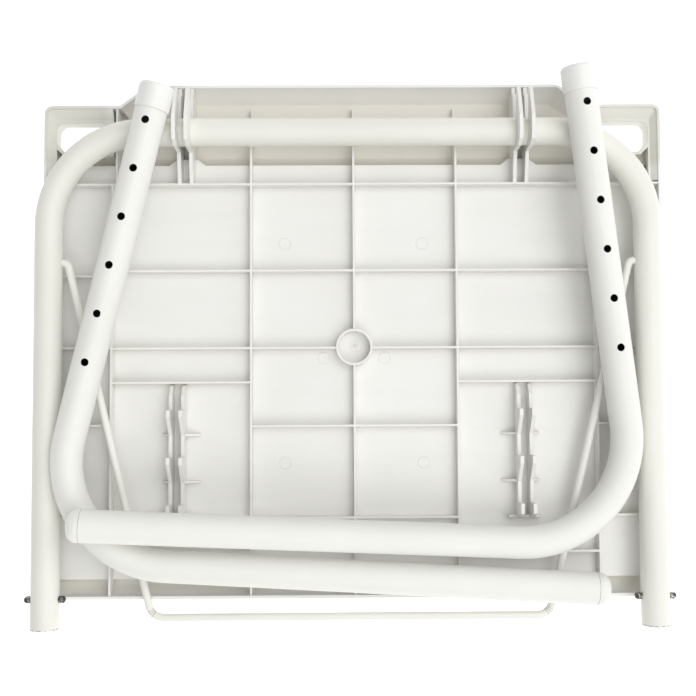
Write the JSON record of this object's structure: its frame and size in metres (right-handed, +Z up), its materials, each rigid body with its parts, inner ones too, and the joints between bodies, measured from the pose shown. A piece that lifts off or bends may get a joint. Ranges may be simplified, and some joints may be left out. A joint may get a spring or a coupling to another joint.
{
  "type": "folding tray table",
  "caption": "Folding tray table packed flat: ribbed tray with finger openings, hinged tube frame, wire prop and loose elbow legs.",
  "frame": {"origin": "on the floor, under the middle of the packed table's bounding box", "axes": "+X along the tray's long side, +Y from the open leg ends towards the hinge side, +Z up; the tray lies face down"},
  "size_m": [0.5084, 0.436, 0.0821],
  "materials": {
    "tray_plastic": "fine moulded texture, warm white",
    "tube_paint": "satin powder coat, warm white",
    "wire_paint": "satin powder coat, warm white",
    "collar_plastic": "semi-gloss moulded, white",
    "cap_plastic": "semi-gloss moulded, white",
    "pin_steel": "zinc plated, dull",
    "spring_steel": "tempered spring steel"
  },
  "bodies": {
    "tray": {"tray_top": "tray_plastic"},
    "frame": {"frame_tube": "tube_paint", "leaf_spring_left": "spring_steel", "leaf_spring_right": "spring_steel"},
    "prop": {"support_wire": "wire_paint"},
    "leg_left": {"leg_left_tube": "tube_paint", "leg_left_collar": "collar_plastic", "leg_left_cap": "cap_plastic"},
    "leg_right": {"leg_right_tube": "tube_paint", "leg_right_collar": "collar_plastic", "leg_right_cap": "cap_plastic"},
    "button_left_outer": {"button_left_outer": "pin_steel"},
    "button_left_inner": {"button_left_inner": "pin_steel"},
    "button_right_outer": {"button_right_outer": "pin_steel"},
    "button_right_inner": {"button_right_inner": "pin_steel"}
  },
  "joints": [
    {"name": "frame_fold", "type": "hinge", "parent": "tray", "child": "frame", "pos_m": [0, 0.1725, 0.0316], "axis": [-1, 0, 0], "range_deg": [0, 117]},
    {"name": "prop_swing", "type": "hinge", "parent": "frame", "child": "prop", "pos_m": [0, 0.0681, 0.0316], "axis": [-1, 0, 0], "range_deg": [-134, 0]},
    {"name": "leg_left_lift", "type": "slide", "parent": "frame", "child": "leg_left", "axis": [0, 0, 1], "range_m": [0, 0.104]},
    {"name": "leg_right_lift", "type": "slide", "parent": "frame", "child": "leg_right", "axis": [0, 0, 1], "range_m": [0, 0.104]},
    {"name": "button_left_outer_press", "type": "slide", "parent": "frame", "child": "button_left_outer", "axis": [1, 0, 0], "range_m": [0, 0.005], "stiffness_N_per_m": 1500, "deforming": ["leaf_spring_left"]},
    {"name": "button_left_inner_press", "type": "slide", "parent": "frame", "child": "button_left_inner", "axis": [-1, 0, 0], "range_m": [0, 0.005], "stiffness_N_per_m": 1500},
    {"name": "button_right_outer_press", "type": "slide", "parent": "frame", "child": "button_right_outer", "axis": [-1, 0, 0], "range_m": [0, 0.005], "stiffness_N_per_m": 1500, "deforming": ["leaf_spring_right"]},
    {"name": "button_right_inner_press", "type": "slide", "parent": "frame", "child": "button_right_inner", "axis": [1, 0, 0], "range_m": [0, 0.005], "stiffness_N_per_m": 1500}
  ],
  "couplings": [
    {"joint": "prop_swing", "follows": "frame_fold", "ratio": -1.14},
    {"joint": "leg_left_lift", "follows": "frame_fold", "m_per_rad": 0.05},
    {"joint": "leg_right_lift", "follows": "frame_fold", "m_per_rad": 0.05}
  ]
}
